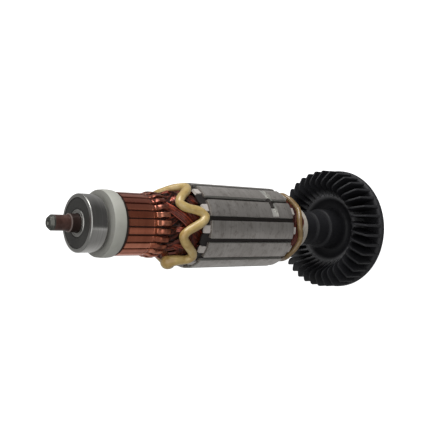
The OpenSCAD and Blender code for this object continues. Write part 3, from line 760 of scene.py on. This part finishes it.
def leads():
    """One wire for each hook: from a slot over the end turns, half round the hook's root and back
    over the others to a slot on the far side."""
    gauge, steps = 0.62 * MM, 15
    k = np.arange(bar_count)
    bar = bar_phase + k * bar_pitch
    root_x = hook_back - 2.3 * MM
    mouth_x = core_rear - coil_out
    low_r = riser_r + gauge * 0.6
    top_r = turn_high_r - 0.2 * MM
    beside = math.radians(6.0)
    # four leads lie side by side in the mouth of a slot, one step apart
    step = math.radians(3.2)
    mouth_a = slot_phase + np.floor((k + 2) / 2) * slot_pitch + (np.mod(k + 2, 2) - 1.5) * step
    mouth_b = slot_phase + np.floor((k - 2) / 2) * slot_pitch + (np.mod(k - 2, 2) + 0.5) * step
    u = np.linspace(0, 1, steps)

    def run(mouth, edge, lift):
        """From a slot's mouth at u = 1 to the hook at u = 0, eased in radius and straight in angle."""
        r = mix(low_r, top_r, smooth(u)) + lift * np.sqrt(np.sin(math.radians(27) + math.radians(153) * u))
        bow = wander(bar_count, steps) * math.radians(1.6) * np.sin(math.pi * u)
        lumps = wander(bar_count, steps) * 0.1 * MM * np.sin(math.pi * u)
        return polar(mix(root_x, mouth_x, u), r + lumps, mix(edge, mouth, u[None]) + bow)

    inner = run(mouth_a[:, None], (bar + beside)[:, None], 0)[:, ::-1]
    outer = run(mouth_b[:, None], (bar - beside)[:, None], 0.3 * MM)
    half = np.linspace(0.12, 0.88, 7)
    round_x = root_x - 1.1 * MM * np.sin(math.pi * half)
    round_r = low_r + 0.6 * MM * smooth(half)
    loop = polar(round_x, round_r, bar[:, None] + beside * np.cos(math.pi * half))
    return round_wires("hook_leads", np.concatenate([inner, loop, outer], axis=1), gauge, 8)


def ribbons():
    """Flat bands of leads that run side by side over the winding, from beside the hooks to every
    third slot: station linear in u, angle easing into the slot, radius rising fast."""
    gauge, wires, steps = 0.52 * MM, 6, 30
    slot, lane = lanes(slot_phase + np.arange(0, slot_count, 3) * slot_pitch, wires)
    u = np.linspace(0, 1, steps)
    x = mix(hook_back - 1.6 * MM, core_rear - 1.2 * MM, u)
    r = mix(riser_r + 0.7 * MM, turn_high_r + 1.25 * MM, smooth(u * 2)) - 0.3 * MM * smooth((u - 0.7) / 0.3)
    swing = math.radians(-61) * (1 - u) ** 1.45
    width = mix(1.6, 0.9, smooth((u - 0.72) / 0.28))
    angle = slot + swing + lane * width * gauge / r + wander(len(lane), steps) * 0.008
    lumps = wander(len(lane), steps) * 0.08 * MM - 0.015 * MM * lane ** 2
    return round_wires("lead_ribbons", polar(x, r + lumps, angle), gauge, 8)


def cross_leads():
    """Thinner bands under the ribbons that lean the other way, three wires from beside every bar."""
    gauge, wires, steps = 0.42 * MM, 3, 20
    start, lane = lanes(bar_phase + (np.arange(bar_count) + 0.5) * bar_pitch, wires)
    u = np.linspace(0, 1, steps)
    x = mix(hook_back - 1.2 * MM, core_rear - 2 * MM, u)
    r = mix(riser_r + 0.1 * MM, turn_high_r + 0.35 * MM, smooth(u * 1.9))
    swing = math.radians(-58) * u ** 0.9
    angle = start + swing + lane * gauge * 1.5 / r + wander(len(lane), steps) * 0.015
    lumps = wander(len(lane), steps) * 0.12 * MM
    return round_wires("cross_leads", polar(x, r + lumps, angle), gauge, 6)


def lobes():
    """Noses of the last coils: a flat bundle out of every slot, its radius a half sine that bulges
    along the shaft and then dips under the leads."""
    gauge, wires, steps = 0.5 * MM, 7, 24
    slot, lane = lanes(slot_phase + np.arange(slot_count) * slot_pitch, wires)
    u = np.linspace(0, 1, steps)
    x = mix(core_rear + 1 * MM, hook_back + 1.4 * MM, u)
    bulge = 0.4 * MM * np.sin(math.pi * np.clip(u * 1.15, 0, 1))
    r = turn_high_r + 0.1 * MM + bulge - 1.9 * MM * smooth((u - 0.8) / 0.2)
    width = 0.62 + 0.5 * np.sin(math.pi * u)
    angle = slot - math.radians(11) * smooth(u) + lane * width * gauge / r + wander(len(lane), steps) * 0.03
    lumps = wander(len(lane), steps) * 0.08 * MM - 0.035 * MM * lane ** 2
    return round_wires("coil_noses", polar(x, r + lumps, angle), gauge, 6)


def inner_layers():
    """The varnished inner layers of the winding: one body turned round the shaft, a little lumpy."""
    steps, bore_r = 144, 9.5 * MM
    x, r = np.array([
        (core_rear + 0.5 * MM, bore_r), (core_rear + 0.5 * MM, 13.1 * MM), (core_rear - 6 * MM, 13.2 * MM),
        (core_rear - 11 * MM, 12.9 * MM), (hook_back + 1.6 * MM, 12.1 * MM),
        (hook_back - 1.2 * MM, 11.7 * MM), (hook_back - 1.6 * MM, 10.9 * MM),
        (hook_back - 1.6 * MM, bore_r)]).T[..., None]
    angle = np.arange(steps) / steps * TURN
    lump = 0.15 * MM * np.sin(slot_count * angle) * (r > 11.5 * MM)
    return skin("inner_layers", polar(x, r + lump, angle), closed=(True, True))


# ---- lacing ------------------------------------------------------------------------------------

# turning points of the cords: angle, millimetres out of the core, millimetres above the end turns
knot_angle = 248
rear_turns = np.array([
    (75, 13, -0.9), (111, 5, 3), (145, 13.6, 2.5), (166, 3, 3.4), (193.5, 12.9, 2.5), (227, 4.6, 3),
    (knot_angle, 12.6, 2.1), (283, 4.8, 3), (316, 6.2, 2.8), (345, 5, 3), (374, 13, 2.3), (408, 5, 3)])
front_turns = np.array([(22 + 30 * k, 6.4 if k % 2 else 8.6, 1.8 if k % 2 else 1.1) for k in range(12)])
bend_run = 7.4 * MM


def laced(turns, face, out, steps):
    """Centre line of a cord, and its angle in degrees.

    Between two turning points the station and the radius follow half a cosine mixed with a straight
    line. The angle swings by a sine, so that a bend of a given length fits a narrow pitch, and a
    smaller sine brings the points of the path closer together in the bends."""
    where = np.arange(steps) / steps * len(turns)
    first = where.astype(int)
    t = where - first
    t = np.clip(t + 0.035 * np.sin(2 * TURN * t), 0, 1)
    after = turns[(first + 1) % len(turns)] + np.where(first + 1 >= len(turns), 1, 0)[:, None] * (360, 0, 0)
    here = turns[first]
    arc = np.radians(after[:, 0] - here[:, 0]) * turn_high_r
    swing = np.maximum(0, bend_run / arc - 1) / TURN
    ease = mix((1 - np.cos(math.pi * t)) / 2, t, 0.3)
    angle = np.radians(mix(here[:, 0], after[:, 0], t + swing * np.sin(TURN * t)))
    x = face + out * mix(here[:, 1], after[:, 1], ease) * MM
    return polar(x, turn_high_r + mix(here[:, 2], after[:, 2], ease) * MM, angle), np.degrees(angle)


def cord(name, path, thickness):
    """A soft round section carried along its route, a little flattened where it is pulled tight."""
    step = np.arange(len(path))
    lump = 1 + 0.025 * np.sin(step * 0.41) + 0.02 * np.sin(step * 0.173)
    section = circle(0.5, 24) * (1.03, 0.97) * (thickness * lump)[:, None, None]
    return skin(name, swept(path, section, closed=True), closed=(True, True))


def rear_cord():
    """The heavier lacing at the commutator end, swollen by a knot where its two ends meet."""
    path, angle = laced(rear_turns, core_rear, -1, 432)
    knot = np.exp(-((angle - knot_angle) / 8) ** 2)
    return cord("rear_lacing", path, (3.5 + 2.4 * knot) * MM)


def front_cord():
    """The lighter lacing round the end turns at the fan end, in shallow waves."""
    path, _ = laced(front_turns, core_front, 1, 288)
    return cord("front_lacing", path, 2.5 * MM)


# ---- the pieces --------------------------------------------------------------------------------

nodes = frame["nodes"]
bearing_steel = bearing_finish()
seal_rubber = moulded("seal_rubber", (0.043, 0.042, 0.038), (0.034, 0.033, 0.030), 0.6, 1800)
pale_plastic = collar_finish()
sleeve_plastic = moulded("sleeve_plastic", (0.52, 0.48, 0.42), (0.41, 0.37, 0.31), 0.45)
insulator = insulator_finish()
slot_fibre = moulded("slot_fibre", (0.017, 0.013, 0.011), (0.010, 0.007, 0.006), 0.55, 900)
black_moulding = fan_finish()
phenolic = moulded("phenolic", (0.022, 0.016, 0.013), (0.014, 0.010, 0.008), 0.4)
mica = moulded("mica", (0.035, 0.013, 0.008), (0.022, 0.008, 0.005), 0.7)
brass = brass_finish()

for name, finish in {
        "shaft": shaft_finish(), "insulating_sleeve": sleeve_plastic, "bearing_cage": brass,
        "bearing_balls": bearing_steel, "bearing_seal_rear": seal_rubber, "bearing_seal_front": seal_rubber,
        "commutator_bush": brass, "commutator_moulding": phenolic, "bar_insulation": mica,
        "laminated_core": core_finish(), "end_insulator_rear": insulator,
        "end_insulator_front": insulator, "slot_liners": slot_fibre, "slot_wedges": slot_fibre}.items():
    dress(nodes[name], finish)

fit(bearing_outer(), bearing_steel, "bearing_steel", "bearing_outer_ring", body="outer_race")
fit(bearing_inner(), bearing_steel, "bearing_steel", "bearing_inner_ring")
fit(dust_collar(), pale_plastic, "pale_plastic", "dust_collar")
fit(fan_body(), black_moulding, "black_moulding", "fan")
fit(fan_blades(), black_moulding, "black_moulding", "fan")

copper = bar_finish()
fit(copper_bars(), copper, "bar_copper", "commutator_bars")
fit(copper_hooks(), copper, "bar_copper", "commutator_bars")

enamel = wire_finish("enamelled_wire", (0.025, 0.005, 0.004), (0.17, 0.030, 0.017), 0.5, 0.3)
# a near-black copy of the enamelled wire: painted shade for the winding seen between the outer wires
painted_shade_wire = wire_finish("painted_shade_wire", (0.008, 0.0025, 0.002), (0.028, 0.006, 0.004), 0.1, 0.2)
fit(end_turn_wires("rear_end_turns", core_rear, -1, core_rear - coil_rear - coil_wander), enamel,
    "enamelled_copper", "coils")
fit(end_turn_wires("front_end_turns", core_front, 1, coil_front - core_front - coil_wander), enamel,
    "enamelled_copper", "coils")
lead_wire = wire_finish("lead_wire", (0.025, 0.006, 0.003), (0.16, 0.029, 0.013), 0.55, 0.1)
# a brighter copy of the enamelled wire: painted light on the uppermost ribbons and coil noses
painted_light_wire = wire_finish("painted_light_wire", (0.11, 0.018, 0.008), (0.52, 0.088, 0.036), 0.6, 0.7, 0.12)
fit(leads(), lead_wire, "enamelled_copper", "coil_leads")
fit(cross_leads(), lead_wire, "enamelled_copper", "coil_leads")
fit(ribbons(), painted_light_wire, "enamelled_copper", "coil_leads")
fit(lobes(), painted_light_wire, "enamelled_copper", "coils")
fit(inner_layers(), painted_shade_wire, "enamelled_copper", "coils")

fit(rear_cord(), cord_finish("rear_lacing", (0.39, 0.24, 0.07), (0.51, 0.365, 0.135), (0.66, 0.515, 0.255)),
    "cotton_cord", "lacing_cord_rear")
fit(front_cord(), cord_finish("front_lacing", (0.17, 0.10, 0.037), (0.25, 0.16, 0.062), (0.34, 0.23, 0.10)),
    "cotton_cord", "lacing_cord_front")


# ---- floor, light and camera -------------------------------------------------------------------

def floor():
    """A wide pale floor well below the part, which the part itself doesn't see."""
    depth, half = 0.35, 6.0
    x, y = np.meshgrid([-half, half], [-half, half])
    piece = skin("floor", np.stack([x, y, np.full_like(x, -depth)], -1), closed=(False, False), caps=False)
    f = Finish("floor_paper", Roughness=0.8, Emission_Color=(1, 1, 1), Emission_Strength=1.0)
    cloud = f.noise((3, 3, 3))
    f.set(Base_Color=f.ramp(cloud, (0.3, (0.86, 0.86, 0.86)), (0.7, (0.90, 0.90, 0.90))))
    dress(piece, f)
    piece.visible_diffuse = False
    piece.visible_glossy = False


def softbox(name, place, target, size, power):
    """A square area light that faces a target."""
    light = bpy.data.lights.new(name, "AREA")
    light.shape = "SQUARE"
    light.size = size
    light.energy = power
    lamp = bpy.data.objects.new(name, light)
    lamp.location = place
    lamp.rotation_euler = (Vector(target) - Vector(place)).to_track_quat("-Z", "Y").to_euler()
    bpy.context.scene.collection.objects.link(lamp)


def surroundings():
    """A dim room with a paler wall behind the part, a paler table below it with a brighter strip, and
    a faint window. The part alone sees it, and straight to the eye the backdrop is white."""
    table_glow, strip_glow, wall_glow, window_glow, room_glow = 0.20, 0.20, 0.25, 0.14, 0.09
    world = bpy.data.worlds.new("studio")
    bpy.context.scene.world = world
    world.use_nodes = True
    room = Nodes(world.node_tree)
    way = room.node("ShaderNodeTexCoord", output="Generated")

    def facing(direction):
        """How far the way looked points along a direction."""
        return room.node("ShaderNodeVectorMath", {"operation": "DOT_PRODUCT"}, {0: way, 1: direction},
                         output="Value")

    height = room.part(way, "Z")
    table = height.step(-0.16, -0.27) * table_glow
    wall = facing((0.65, 0.76, 0.0)).step(0.0, 0.9) * wall_glow
    strip = height.step(-0.20, -0.26) * height.step(-0.38, -0.30) * strip_glow
    window = facing((-0.65, 0.75, 0.1)).step(0.75, 0.95) * window_glow
    white = room.node("ShaderNodeLightPath", output="Is Camera Ray")
    ground = room.tree.nodes["Background"]
    room.put(ground.inputs["Color"], (1, 1, 1))
    room.put(ground.inputs["Strength"], table + strip + wall + window + white + room_glow)


def camera():
    """Looks at the core from behind the rear bearing's side, level with the shaft."""
    target = Vector((-0.0892, 0, 0.0047))
    place = Vector((-0.28326, -0.22754, 0.00766))
    roll = Matrix.Rotation(math.radians(2.476), 4, "Z")
    data = bpy.data.cameras.new("camera")
    data.lens = 58.3
    data.sensor_width = 36.0
    data.shift_x = 0.0026
    data.clip_start = 0.01
    eye = bpy.data.objects.new("camera", data)
    facing = (target - place).to_track_quat("-Z", "Y").to_matrix().to_4x4()
    eye.matrix_world = Matrix.Translation(place) @ facing @ roll
    bpy.context.scene.collection.objects.link(eye)
    bpy.context.scene.camera = eye


floor()
surroundings()
camera()
middle = (-0.09, 0, 0)
softbox("key", (-0.26, -0.10, 0.72), middle, 0.45, 4.8)
softbox("fill", (-0.55, -0.45, 0.05), middle, 0.9, 3.2)
bpy.context.scene.view_settings.view_transform = "Standard"
